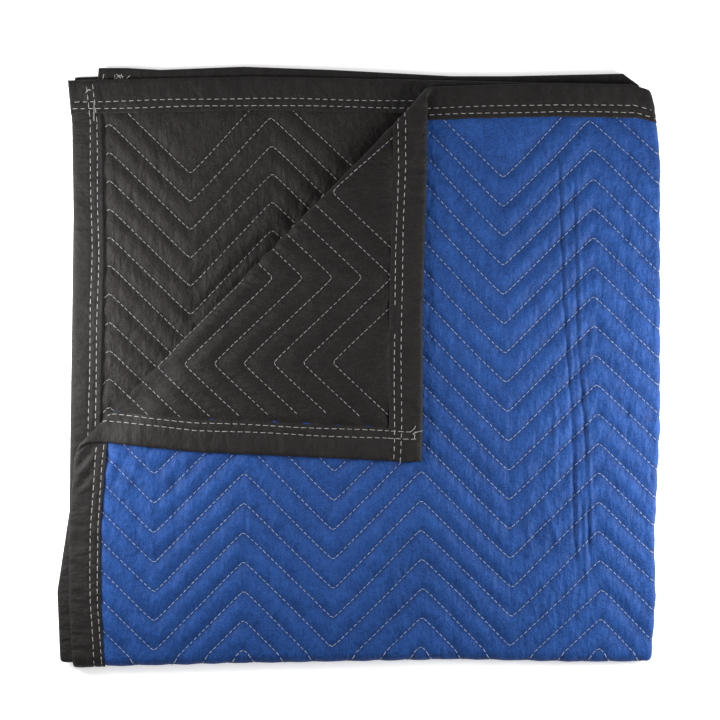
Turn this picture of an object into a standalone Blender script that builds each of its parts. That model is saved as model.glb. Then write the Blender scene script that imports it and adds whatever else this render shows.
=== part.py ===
"""Moving blanket, a quilted square of 1.83 m folded in quarters, with one corner of its top layer turned back.

Run it with blender --background --python part.py, or from Blender's text editor. Metres, +Z up.

The blanket is first cut flat. A point of the flat sheet has three coordinates:
  s  across the blanket, below 0 on the half that ends up outermost and above 0 on the other half
  t  along the blanket, above 0 on the half that ends up on top and below 0 on the half beneath
  w  through the cloth, above 0 towards the blue face and below 0 towards the black back
place() carries such a point to the folded blanket in three steps: the corner is turned back over the blue
face, then the first fold brings the two halves in s together, black inside, and the second fold brings the
two halves in t together. The folded blanket lies on Z = 0 with its right-hand fold at +X and its front fold
at -Y, so its four corners meet at the back left. The origin is the middle of the underside.
"""

import collections
import math

import bmesh
import bpy
import numpy as np

# The flat blanket
HALF = 0.915  # half of its side, to the middle of each fold
BINDING = 0.050  # width of the binding on each face

# Through the cloth, measured from its middle. Each half of the wadding is quilted to its own cloth.
SURFACE = 0.0032  # outside of the cloths and of the binding, which lie flush
LEAF = 0.0017  # inside of the binding's leaf
TONGUE = 0.0012  # outside of a cloth where it runs under the binding
SEAM = 0.00025  # inside of each cloth
GAP = 0.0016  # between pieces, along the sheet
WRAP = 0.0015  # binding at the blanket's outer edge

# The folds
PITCH = 0.0080  # from one layer to the next, middle to middle
SIDE_FOLD_X = 0.4597  # where the right-hand fold starts to turn
FRONT_FOLD_Y = -0.4510  # where the front fold starts to turn
SIDE_ARC = math.pi * PITCH / 4  # half of the cloth in the right-hand fold
FRONT_ARC = math.pi * PITCH / 2  # half of the cloth in the front fold
SIDE_STEPS = 4
FRONT_STEPS = 6
STACK_MIDDLE = 1.5 * PITCH + SURFACE  # height of the middle of the four layers

# The stack is lower towards its edges, where the folds and the bound edges press it together
EDGE_DROP = 0.30
DROP_REACH = 0.465

# The turned-back corner. TURN_LINE is t - s where it starts to turn, and the roll is fat at its back end.
TURN_LINE = 1.2443
TURN_ARC = 0.0251
TURN_STEPS = 6
TURN_SETTLES = 0.090
ROLL_FLAT = PITCH / 2
ROLL_FAT = 0.0080

# Where the sheet is cut across, besides at the folds and along the binding: distances from its outer edge
CUTS = (0.120, 0.240, 0.400, 0.570, 0.730, 0.840, 0.887)

Reach = collections.namedtuple("Reach", "along beyond")

# How far each edge of the flat sheet reaches beyond its straight line, along t for the sides and s for the ends
LEFT_EDGE = (
    Reach(along=-0.915, beyond=-0.007),
    Reach(along=-0.300, beyond=0.002),
    Reach(along=0.000, beyond=-0.005),
    Reach(along=0.101, beyond=0.001),
    Reach(along=0.224, beyond=0.001),
    Reach(along=0.316, beyond=-0.006),
    Reach(along=0.397, beyond=-0.004),
    Reach(along=0.888, beyond=0.024),
)
RIGHT_EDGE = (
    Reach(along=-0.915, beyond=-0.046),
    Reach(along=-0.200, beyond=0.004),
    Reach(along=0.018, beyond=0.016),
    Reach(along=0.116, beyond=0.020),
    Reach(along=0.241, beyond=0.001),
    Reach(along=0.413, beyond=-0.001),
    Reach(along=0.646, beyond=-0.006),
    Reach(along=0.849, beyond=-0.003),
    Reach(along=0.915, beyond=0.003),
)
HEAD_EDGE = (
    Reach(along=-0.915, beyond=-0.026),
    Reach(along=-0.407, beyond=-0.021),
    Reach(along=-0.340, beyond=-0.012),
    Reach(along=-0.028, beyond=-0.012),
    Reach(along=0.000, beyond=-0.022),
    Reach(along=0.028, beyond=-0.014),
    Reach(along=0.340, beyond=-0.006),
    Reach(along=0.621, beyond=0.000),
    Reach(along=0.915, beyond=-0.006),
)
FOOT_EDGE = (
    Reach(along=-0.915, beyond=0.000),
    Reach(along=-0.800, beyond=0.004),
    Reach(along=-0.028, beyond=-0.004),
    Reach(along=0.000, beyond=-0.014),
    Reach(along=0.028, beyond=0.005),
    Reach(along=0.222, beyond=0.001),
    Reach(along=0.318, beyond=0.001),
    Reach(along=0.521, beyond=0.011),
    Reach(along=0.670, beyond=0.016),
    Reach(along=0.810, beyond=0.011),
    Reach(along=0.870, beyond=0.014),
)

Stray = collections.namedtuple("Stray", "along shift")

# How far each fold strays from its straight line: the right-hand fold in X along t, the front fold in Y along X
SIDE_FOLD = (
    Stray(along=-0.893, shift=-0.030),
    Stray(along=-0.500, shift=-0.018),
    Stray(along=0.000, shift=-0.014),
    Stray(along=0.100, shift=-0.007),
    Stray(along=0.194, shift=-0.009),
    Stray(along=0.366, shift=0.000),
    Stray(along=0.784, shift=0.000),
    Stray(along=0.865, shift=-0.009),
    Stray(along=0.893, shift=-0.016),
)
FRONT_FOLD = (
    Stray(along=-0.443, shift=0.000),
    Stray(along=-0.185, shift=0.006),
    Stray(along=0.142, shift=0.012),
    Stray(along=0.361, shift=0.008),
    Stray(along=0.451, shift=0.009),
)

Cloth = collections.namedtuple("Cloth", "colour roughness")

FACE_BLUE = Cloth(colour=(0.035, 0.110, 0.400, 1.0), roughness=0.75)
BACK_BLACK = Cloth(colour=(0.030, 0.028, 0.027, 1.0), roughness=0.80)
BINDING_BLACK = Cloth(colour=(0.026, 0.025, 0.024, 1.0), roughness=0.70)


def clear_scene():
    for obj in list(bpy.data.objects):
        bpy.data.objects.remove(obj, do_unlink=True)


def read(table, along):
    """The table's second column at a place along it, straight between rows and level past its ends."""
    stations, values = zip(*table)
    return float(np.interp(along, stations, values))


def smooth(share):
    """0 to 1 with level ends, for a share of the way that may be outside 0 to 1."""
    share = min(max(share, 0.0), 1.0)
    return share * share * (3 - 2 * share)


def cut_shape(s, t):
    """A point of the straight square moved to the uneven sheet. The fold lines stay where they are."""
    side = read(LEFT_EDGE if s < 0 else RIGHT_EDGE, t)
    end = read(FOOT_EDGE if t < 0 else HEAD_EDGE, s)
    return s * (1 + side / HALF), t * (1 + end / HALF)


def roll_radius(across):
    """Radius of the corner's roll, from pressed flat at the left to fat where the stiff binding turns."""
    return ROLL_FLAT + (ROLL_FAT - ROLL_FLAT) * smooth(across)


def turn_corner(s, t, w):
    """The corner past the turn line, rolled up and laid back over the blue face, as (s, t, height)."""
    past = (t - s - TURN_LINE) / math.sqrt(2)
    if past <= 0:
        return s, t, w
    middle = (s + t) / 2
    radius = roll_radius(0.5 + middle / (2 * HALF - TURN_LINE))
    if past < TURN_ARC:
        angle = math.pi * past / TURN_ARC
        out = (radius - w) * math.sin(angle)
        height = radius - (radius - w) * math.cos(angle)
    else:
        out = TURN_ARC - past
        settled = smooth(-out / TURN_SETTLES)
        height = 2 * radius + (PITCH - 2 * radius) * settled - w
    apart = (TURN_LINE + out * math.sqrt(2)) / 2
    return middle - apart, middle + apart, height


def fold_side(s, height):
    """The right-hand fold: (x, n), with n the height above the middle of the pair of layers."""
    radius = PITCH / 2 + height
    if s <= -SIDE_ARC:
        return SIDE_FOLD_X + s + SIDE_ARC, radius
    if s >= SIDE_ARC:
        return SIDE_FOLD_X - s + SIDE_ARC, -radius
    angle = (s + SIDE_ARC) / (PITCH / 2)
    return SIDE_FOLD_X + radius * math.sin(angle), radius * math.cos(angle)


def fold_front(t, n):
    """The front fold: (y, z), with the pair of layers turned over itself."""
    radius = PITCH + n
    if t >= FRONT_ARC:
        return FRONT_FOLD_Y + t - FRONT_ARC, STACK_MIDDLE + radius
    if t <= -FRONT_ARC:
        return FRONT_FOLD_Y - t - FRONT_ARC, STACK_MIDDLE - radius
    angle = (FRONT_ARC - t) / PITCH
    return FRONT_FOLD_Y - radius * math.sin(angle), STACK_MIDDLE + radius * math.cos(angle)


def loft(x, y):
    """Share of its full height that the stack has above (x, y). The underside stays level."""
    flat_x = 1 - min(abs(x) / DROP_REACH, 1.0) ** 4
    flat_y = 1 - min(abs(y) / DROP_REACH, 1.0) ** 4
    return 1 - EDGE_DROP + EDGE_DROP * flat_x * flat_y


def place(s, t, w):
    """A point of the flat sheet on the folded blanket."""
    s, turned_t, height = turn_corner(s, t, w)
    x, n = fold_side(s, height)
    y, z = fold_front(turned_t, n)
    x += read(SIDE_FOLD, turned_t) * (x + DROP_REACH) / (SIDE_FOLD_X + DROP_REACH)
    y += read(FRONT_FOLD, x) * (DROP_REACH - y) / (DROP_REACH - FRONT_FOLD_Y)
    return x, y, z * loft(x, y)


def cut_lines(arc, steps):
    """Where the sheet is cut across in one direction: the binding's edges, the cuts and the fold's own steps."""
    binding = (WRAP, WRAP + GAP, BINDING, BINDING + GAP)
    fold = [arc * (1 - 2 * step / steps) for step in range(steps // 2)]
    one_side = [HALF - cut for cut in binding + CUTS] + fold
    return [*one_side, 0.0, *(-line for line in one_side)]


def cut(sheet, point, across):
    everything = sheet.verts[:] + sheet.edges[:] + sheet.faces[:]
    bmesh.ops.bisect_plane(sheet, geom=everything, dist=1e-7, plane_co=point, plane_no=across)


def zone(distance):
    """How deep a strip of the sheet lies: 0 the binding's wrap, 1 the gap inside it, 2 under the binding's
    leaves, 3 the gap along the binding, 4 the open cloth."""
    return sum(distance > edge for edge in (WRAP, WRAP + GAP, BINDING, BINDING + GAP))


def flat_sheet():
    """The flat blanket as triangles, each with its zone from the sides and from the ends, and its quarter."""
    sheet = bmesh.new()
    bmesh.ops.create_grid(sheet, x_segments=1, y_segments=1, size=HALF)
    for line in cut_lines(SIDE_ARC, SIDE_STEPS):
        cut(sheet, (line, 0, 0), (1, 0, 0))
    for line in cut_lines(FRONT_ARC, FRONT_STEPS):
        cut(sheet, (0, line, 0), (0, 1, 0))
    side_zone = sheet.faces.layers.int.new("side_zone")
    end_zone = sheet.faces.layers.int.new("end_zone")
    for face in sheet.faces:
        middle = face.calc_center_median()
        face[side_zone] = zone(HALF - abs(middle.x))
        face[end_zone] = zone(HALF - abs(middle.y))
    for vertex in sheet.verts:
        vertex.co.x, vertex.co.y = cut_shape(vertex.co.x, vertex.co.y)
    turn_cuts = [TURN_ARC * step / TURN_STEPS for step in range(TURN_STEPS + 1)]
    for past in [*turn_cuts, TURN_ARC + TURN_SETTLES / 2, TURN_ARC + TURN_SETTLES]:
        from_middle = TURN_LINE / 2 + past / math.sqrt(2)
        cut(sheet, (-from_middle, from_middle, 0), (-1, 1, 0))
    bmesh.ops.triangulate(sheet, faces=sheet.faces[:], quad_method="SHORT_EDGE", ngon_method="BEAUTY")
    return sheet


def face_cloth_fills(s, t, side, end):
    """The blue cloth's share of its levels (SEAM, TONGUE, SURFACE) in one piece of the sheet."""
    if min(side, end) < 2:
        return ()
    return (0, 1) if min(side, end) == 4 else (0,)


def back_cloth_fills(s, t, side, end):
    """The black cloth's share of its levels (-SURFACE, -TONGUE, -SEAM)."""
    if min(side, end) < 2:
        return ()
    return (0, 1) if min(side, end) == 4 else (1,)


def binding_fills(wrapped, side, end):
    """A binding's share of its levels (-SURFACE, -LEAF, LEAF, SURFACE): two leaves, joined at the outer edge."""
    if not wrapped:
        return ()
    return (0, 1, 2) if min(side, end) == 0 else (0, 2)


def head_binding_fills(s, t, side, end):
    return binding_fills(t > 0 and end < 3, side, end)


def foot_binding_fills(s, t, side, end):
    return binding_fills(t < 0 and end < 3, side, end)


def left_binding_fills(s, t, side, end):
    return binding_fills(s < 0 and side < 3 and end == 4, side, end)


def right_binding_fills(s, t, side, end):
    return binding_fills(s > 0 and side < 3 and end == 4, side, end)


def material_of(name, cloth):
    material = bpy.data.materials.new(name)
    material.use_nodes = True
    shader = material.node_tree.nodes["Principled BSDF"]
    shader.inputs["Base Color"].default_value = cloth.colour
    shader.inputs["Roughness"].default_value = cloth.roughness
    shader.inputs["Metallic"].default_value = 0.0
    material.diffuse_color = cloth.colour
    return material


def folded_piece(name, sheet, levels, fills, cloth):
    """One closed piece: the part of the sheet that it fills, level by level, carried to its folded place."""
    side_zone = sheet.faces.layers.int["side_zone"]
    end_zone = sheet.faces.layers.int["end_zone"]
    filled = {}
    for face in sheet.faces:
        middle = face.calc_center_median()
        filled[face] = fills(middle.x, middle.y, face[side_zone], face[end_zone])
    piece = bmesh.new()
    corners = {}

    def corner(vertex, level):
        key = (vertex.index, level)
        if key not in corners:
            corners[key] = piece.verts.new(place(vertex.co.x, vertex.co.y, levels[level]))
        return corners[key]

    sheet.verts.index_update()
    for face, slices in filled.items():
        for lower in slices:
            if lower + 1 not in slices:
                piece.faces.new([corner(v, lower + 1) for v in face.verts])
            if lower - 1 not in slices:
                piece.faces.new([corner(v, lower) for v in reversed(face.verts)])
            for loop in face.loops:
                beyond = [other for other in loop.edge.link_faces if other is not face]
                if beyond and lower in filled[beyond[0]]:
                    continue
                a, b = loop.vert, loop.link_loop_next.vert
                piece.faces.new([corner(a, lower), corner(b, lower), corner(b, lower + 1), corner(a, lower + 1)])
    mesh = bpy.data.meshes.new(name)
    piece.to_mesh(mesh)
    piece.free()
    mesh.materials.append(material_of(name, cloth))
    mesh.shade_smooth()
    mesh.set_sharp_from_angle(angle=math.radians(40))
    bpy.context.scene.collection.objects.link(bpy.data.objects.new(name, mesh))


def build():
    clear_scene()
    sheet = flat_sheet()
    face_levels = (SEAM, TONGUE, SURFACE)
    back_levels = (-SURFACE, -TONGUE, -SEAM)
    binding_levels = (-SURFACE, -LEAF, LEAF, SURFACE)
    folded_piece("face_cloth", sheet, face_levels, face_cloth_fills, FACE_BLUE)
    folded_piece("back_cloth", sheet, back_levels, back_cloth_fills, BACK_BLACK)
    folded_piece("binding_left", sheet, binding_levels, left_binding_fills, BINDING_BLACK)
    folded_piece("binding_right", sheet, binding_levels, right_binding_fills, BINDING_BLACK)
    folded_piece("binding_head", sheet, binding_levels, head_binding_fills, BINDING_BLACK)
    folded_piece("binding_foot", sheet, binding_levels, foot_binding_fills, BINDING_BLACK)
    sheet.free()


build()
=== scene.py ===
"""A quilted moving blanket folded in quarters, one corner of its top layer turned back over the blue face.

The blanket is worked out flat, as a maker cuts it, and every piece is carried to the folded blanket by one
Folding. A point of the flat blanket is (s, t, w): s across it, t along it and w through it, in metres, with
w above 0 towards the blue face. Everything that follows the cloth, such as a row of stitches, is laid out in
those coordinates first.
"""

import enum
import logging
import math
from dataclasses import dataclass, field
from typing import Callable, NamedTuple, Sequence, Union

import bpy
import numpy as np
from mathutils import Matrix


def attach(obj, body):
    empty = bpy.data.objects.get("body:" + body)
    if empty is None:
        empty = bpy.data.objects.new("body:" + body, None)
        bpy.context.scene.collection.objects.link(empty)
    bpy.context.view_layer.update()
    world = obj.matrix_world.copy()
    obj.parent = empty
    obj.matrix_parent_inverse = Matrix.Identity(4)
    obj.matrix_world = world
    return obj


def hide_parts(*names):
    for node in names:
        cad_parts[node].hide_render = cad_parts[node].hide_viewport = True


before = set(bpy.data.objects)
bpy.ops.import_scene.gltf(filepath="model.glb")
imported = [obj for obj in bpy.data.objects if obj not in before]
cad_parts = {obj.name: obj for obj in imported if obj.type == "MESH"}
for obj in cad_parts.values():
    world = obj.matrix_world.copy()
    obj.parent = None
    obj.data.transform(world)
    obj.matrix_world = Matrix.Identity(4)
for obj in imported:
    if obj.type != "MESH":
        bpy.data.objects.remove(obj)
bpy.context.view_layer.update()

log = logging.getLogger("moving_blanket")

Array = np.ndarray
Number = Union[float, Array]


class Station(NamedTuple):
    """One row of an edge's or a fold's table: a place along it, and how far it strays outwards there."""

    along: float
    beyond: float


class Crease(NamedTuple):
    """A soft packing crease on the flat cloth, from one end to the other."""

    start: tuple[float, float]
    end: tuple[float, float]
    width: float
    rise: float


def stray(*rows: tuple[float, float]) -> tuple[Station, ...]:
    """A table of stations."""
    return tuple(Station(*row) for row in rows)


def pressed_in(*rows: tuple[tuple[float, float], tuple[float, float], float, float]) -> tuple[Crease, ...]:
    """A table of creases."""
    return tuple(Crease(*row) for row in rows)


class Side(enum.Enum):
    """Which of the blanket's two faces something is on, as the sign of w there."""

    FACE = 1
    BACK = -1


LEFT_EDGE = stray(
    (-0.915, -0.007), (-0.300, 0.002), (0.000, -0.005), (0.101, 0.001), (0.224, 0.001), (0.316, -0.006),
    (0.397, -0.0125), (0.550, 0.0050), (0.888, 0.024),
)
RIGHT_EDGE = stray(
    (-0.915, -0.046), (-0.200, 0.004), (0.018, 0.016), (0.116, 0.020), (0.241, 0.001), (0.413, -0.001),
    (0.646, -0.006), (0.849, -0.003), (0.915, 0.003),
)
HEAD_EDGE = stray(
    (-0.915, -0.0335), (-0.678, -0.0332), (-0.438, -0.0263), (-0.345, -0.0175), (-0.148, -0.0115),
    (-0.028, -0.0135), (0.000, -0.022), (0.028, -0.014), (0.340, -0.006), (0.621, 0.000), (0.915, -0.006),
)
FOOT_EDGE = stray(
    (-0.915, 0.000), (-0.800, 0.004), (-0.028, -0.004), (0.000, -0.014), (0.028, 0.005), (0.222, 0.001),
    (0.318, 0.001), (0.521, 0.011), (0.670, 0.016), (0.810, 0.011), (0.870, 0.014),
)
SIDE_FOLD = stray(
    (-0.893, -0.030), (-0.500, -0.018), (0.000, -0.014), (0.100, -0.007), (0.194, -0.009), (0.366, 0.000),
    (0.784, 0.000), (0.865, -0.009), (0.893, -0.016),
)
FRONT_FOLD = stray(
    (-0.443, 0.000), (-0.185, 0.006), (0.142, 0.012), (0.361, 0.008), (0.451, 0.009),
)


def read(table: Sequence[Station], along: Number) -> Array:
    """Read a table of stations, straight between rows and level past its ends.

    Args:
        table: The rows, in order along the edge or the fold.
        along: Where to read it.

    Returns:
        How far the edge or fold strays there.
    """
    return np.interp(along, [row.along for row in table], [row.beyond for row in table])


def smooth(share: Number) -> Array:
    """Ease a share of the way from 0 to 1, with level ends."""
    share = np.clip(share, 0.0, 1.0)
    return share * share * (3 - 2 * share)


class Fade(NamedTuple):
    """A change from 0 to 1 that starts at one place and is done a span further on, in metres."""

    start: float
    span: float

    def at(self, place: Number) -> Array:
        """The share of the change that is done at a place."""
        return smooth((place - self.start) / self.span)


class Mottle:
    """Soft random unevenness over the plane, the same each run."""

    def __init__(self, seed: int, size: int = 96) -> None:
        """Draw the random values.

        Args:
            seed: Which pattern it is.
            size: How many values a side before the pattern repeats.
        """
        self.values = np.random.default_rng(seed).uniform(-1.0, 1.0, (size, size))

    def at(self, a: Number, b: Number, cell: float) -> Array:
        """Read the pattern.

        Args:
            a: First coordinate.
            b: Second coordinate.
            cell: Size of one random cell.

        Returns:
            Values between -1 and 1.
        """
        size = len(self.values)
        a, b = np.broadcast_arrays(np.asarray(a) / cell, np.asarray(b) / cell)
        column, row = np.floor(a).astype(int), np.floor(b).astype(int)
        right, up = smooth(a - column), smooth(b - row)
        corner = [self.values[(column + i) % size, (row + j) % size] for i in (0, 1) for j in (0, 1)]
        low = corner[0] + (corner[2] - corner[0]) * right
        high = corner[1] + (corner[3] - corner[1]) * right
        return low + (high - low) * up


@dataclass(frozen=True)
class Folding:
    """The way from the flat blanket to the folded one, with the frame's sizes."""

    half: float = 0.915
    binding: float = 0.050
    surface: float = 0.0032
    pitch: float = 0.0080
    side_fold_x: float = 0.4597
    front_fold_y: float = -0.4510
    edge_drop: float = 0.30
    drop_reach: float = 0.465
    turn_line: float = 1.2318
    turn_arc: float = 0.0251
    turn_settles: float = 0.090
    roll_fat: float = 0.0080
    pressed: float = 0.70
    press_starts: Fade = Fade(0.17, 0.20)
    press_ends: Fade = Fade(-0.56, 0.07)
    press_reach: float = 0.032
    press_gap: float = 0.0004
    billow: float = 0.045
    billow_size: float = 0.17
    mottle: Mottle = field(default_factory=lambda: Mottle(11))

    @property
    def open_edge(self) -> float:
        """Distance of the binding's inner edge from the blanket's middle, in the straight square."""
        return self.half - self.binding

    @property
    def side_arc(self) -> float:
        """Half of the cloth that the side fold takes."""
        return math.pi * self.pitch / 4

    @property
    def front_arc(self) -> float:
        """Half of the cloth that the front fold takes."""
        return math.pi * self.pitch / 2

    def stretch(self, s: Array, t: Array) -> tuple[Array, Array]:
        """How much further out the uneven outline is than the straight square.

        Args:
            s: Across the straight square.
            t: Along the straight square.

        Returns:
            The two factors, across and along.
        """
        side = np.where(s < 0, read(LEFT_EDGE, t), read(RIGHT_EDGE, t))
        end = np.where(t < 0, read(FOOT_EDGE, s), read(HEAD_EDGE, s))
        return 1 + side / self.half, 1 + end / self.half

    def cut_shape(self, s: Array, t: Array) -> tuple[Array, Array]:
        """Move points of the straight square to the blanket's uneven outline."""
        stretch_s, stretch_t = self.stretch(s, t)
        return s * stretch_s, t * stretch_t

    def straight_shape(self, s: Array, t: Array) -> tuple[Array, Array]:
        """Move points of the blanket's uneven outline back to the straight square, closer each round.

        Args:
            s: Across the cut blanket.
            t: Along the cut blanket.

        Returns:
            Across and along the straight square.
        """
        square_s, square_t = s, t
        for _ in range(3):
            stretch_s, stretch_t = self.stretch(square_s, square_t)
            square_s, square_t = s / stretch_s, t / stretch_t
        return square_s, square_t

    def past_turn(self, s: Array, t: Array) -> Array:
        """How far points of the cut blanket lie past the line where the corner turns."""
        return (t - s - self.turn_line) / math.sqrt(2)

    def turn_corner(self, s: Array, t: Array, w: Array) -> tuple[Array, Array, Array]:
        """Roll the corner up and lay it back over the blue face.

        Args:
            s: Across the cut blanket.
            t: Along the cut blanket.
            w: Through the blanket.

        Returns:
            The new s and t, and the height above the middle of the top layer.
        """
        past = self.past_turn(s, t)
        middle = (s + t) / 2
        flat = self.pitch / 2
        radius = flat + (self.roll_fat - flat) * smooth(0.5 + middle / (2 * self.half - self.turn_line))
        angle = np.clip(math.pi * past / self.turn_arc, 0.0, math.pi)
        rolled_out = (radius - w) * np.sin(angle)
        rolled_up = radius - (radius - w) * np.cos(angle)
        laid_out = self.turn_arc - past
        settled = smooth(-laid_out / self.turn_settles)
        laid_up = 2 * radius + (self.pitch - 2 * radius) * settled - w
        laid = past > self.turn_arc
        out = np.where(laid, laid_out, rolled_out)
        up = np.where(laid, laid_up, rolled_up)
        apart = (self.turn_line + out * math.sqrt(2)) / 2
        turned = past > 0
        new_s, new_t = np.where(turned, middle - apart, s), np.where(turned, middle + apart, t)
        up = np.where(turned, up, w)
        return new_s, new_t, self.press(new_s, new_t, up)

    def press(self, s: Array, t: Array, up: Array) -> Array:
        """Press the lower end of the turned corner's edge down on to the layer below.

        Args:
            s: Across the blanket, once the corner is turned.
            t: Along the blanket, once the corner is turned.
            up: Height above the middle of the top layer.

        Returns:
            The new height.
        """
        inward = np.maximum(self.turn_line - (t - s), 0.0) / math.sqrt(2)
        share = self.press_starts.at(-(s + t)) * self.press_ends.at(s + t)
        squash = 1 - self.pressed * share * np.exp(-((inward / self.press_reach) ** 2))
        below = self.surface - self.pitch - self.press_gap
        return below + (up - below) * squash

    def fold_side(self, s: Array, height: Array) -> tuple[Array, Array]:
        """Fold the two halves in s together.

        Args:
            s: Across the blanket, once the corner is turned.
            height: Height above the middle of the layer.

        Returns:
            The place in x, and the height above the middle of the pair.
        """
        radius = self.pitch / 2 + height
        angle = np.clip((s + self.side_arc) / (self.pitch / 2), 0.0, math.pi)
        straight = np.maximum(np.abs(s) - self.side_arc, 0.0)
        return self.side_fold_x - straight + radius * np.sin(angle), radius * np.cos(angle)

    def fold_front(self, t: Array, n: Array) -> tuple[Array, Array]:
        """Fold the pair over itself at the front.

        Args:
            t: Along the blanket, once the corner is turned.
            n: Height above the middle of the pair.

        Returns:
            The places in y and z.
        """
        radius = self.pitch + n
        angle = np.clip((self.front_arc - t) / self.pitch, 0.0, math.pi)
        straight = np.maximum(np.abs(t) - self.front_arc, 0.0)
        middle = 1.5 * self.pitch + self.surface
        return self.front_fold_y + straight - radius * np.sin(angle), middle + radius * np.cos(angle)

    def loft(self, x: Array, y: Array) -> Array:
        """Share of its full height that the stack has at a place.

        Args:
            x: The frame's x.
            y: The frame's y.

        Returns:
            The share, less towards the edges.
        """
        flat_x, flat_y = (1 - np.minimum(np.abs(v) / self.drop_reach, 1.0) ** 4 for v in (x, y))
        crown = 1 - self.edge_drop + self.edge_drop * flat_x * flat_y
        return crown * (1 + self.billow * self.mottle.at(x + 1.0, y + 1.0, self.billow_size))

    def place(self, s: Number, t: Number, w: Number, least: float = 0.0006) -> Array:
        """Carry points of the cut blanket to the folded one.

        Args:
            s: Across the blanket.
            t: Along the blanket.
            w: Through the blanket.
            least: The lowest height, where the blanket lies on the floor.

        Returns:
            One row of x, y and z for each point.
        """
        s, t, w = (np.asarray(v, dtype=float) for v in np.broadcast_arrays(s, t, w))
        s, t, height = self.turn_corner(s, t, w)
        x, n = self.fold_side(s, height)
        y, z = self.fold_front(t, n)
        x = x + read(SIDE_FOLD, t) * (x + self.drop_reach) / (self.side_fold_x + self.drop_reach)
        y = y + read(FRONT_FOLD, x) * (self.drop_reach - y) / (self.drop_reach - self.front_fold_y)
        return np.stack([x, y, np.maximum(z * self.loft(x, y), least)], axis=-1)


@dataclass(frozen=True)
class Wave:
    """The zigzag that the quilting needle follows across one half of the blanket."""

    peak: float
    half_wave: float
    first_row: float
    row_pitch: float
    lean: float = 0.0
    tilt: float = 0.0
    steep: float = 1.0
    corner: float = 0.0036
    leans_across: Fade = Fade(-0.50, 0.25)
    leans_along: Fade = Fade(0.02, 0.60)

    def zigzag(self, s: Number, t: Number) -> Array:
        """How far below its peaks a row runs, rounded at its peaks and valleys.

        Args:
            s: Across the cut blanket.
            t: Along the cut blanket.

        Returns:
            Metres towards the foot.
        """
        s = np.asarray(s)
        s = s + self.lean * self.leans_across.at(s) * self.leans_along.at(t)
        round_trip = 2 * self.half_wave
        off_peak = np.abs((s - self.peak + self.half_wave) % round_trip - self.half_wave)
        half_way = self.half_wave / 2
        meets = math.hypot(half_way, self.corner) - half_way
        near_peak = np.sqrt(off_peak**2 + self.corner**2) - meets
        near_valley = self.half_wave + meets - np.sqrt((self.half_wave - off_peak) ** 2 + self.corner**2)
        drawn = np.where(off_peak < half_way, near_peak, near_valley)
        return self.steep * drawn + self.tilt * (s - self.peak)

    def row_at(self, s: Number, t: Number) -> Array:
        """Which row a point is on, as a number that is whole on a row."""
        return (np.asarray(t) - self.first_row + self.zigzag(s, t)) / self.row_pitch


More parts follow.
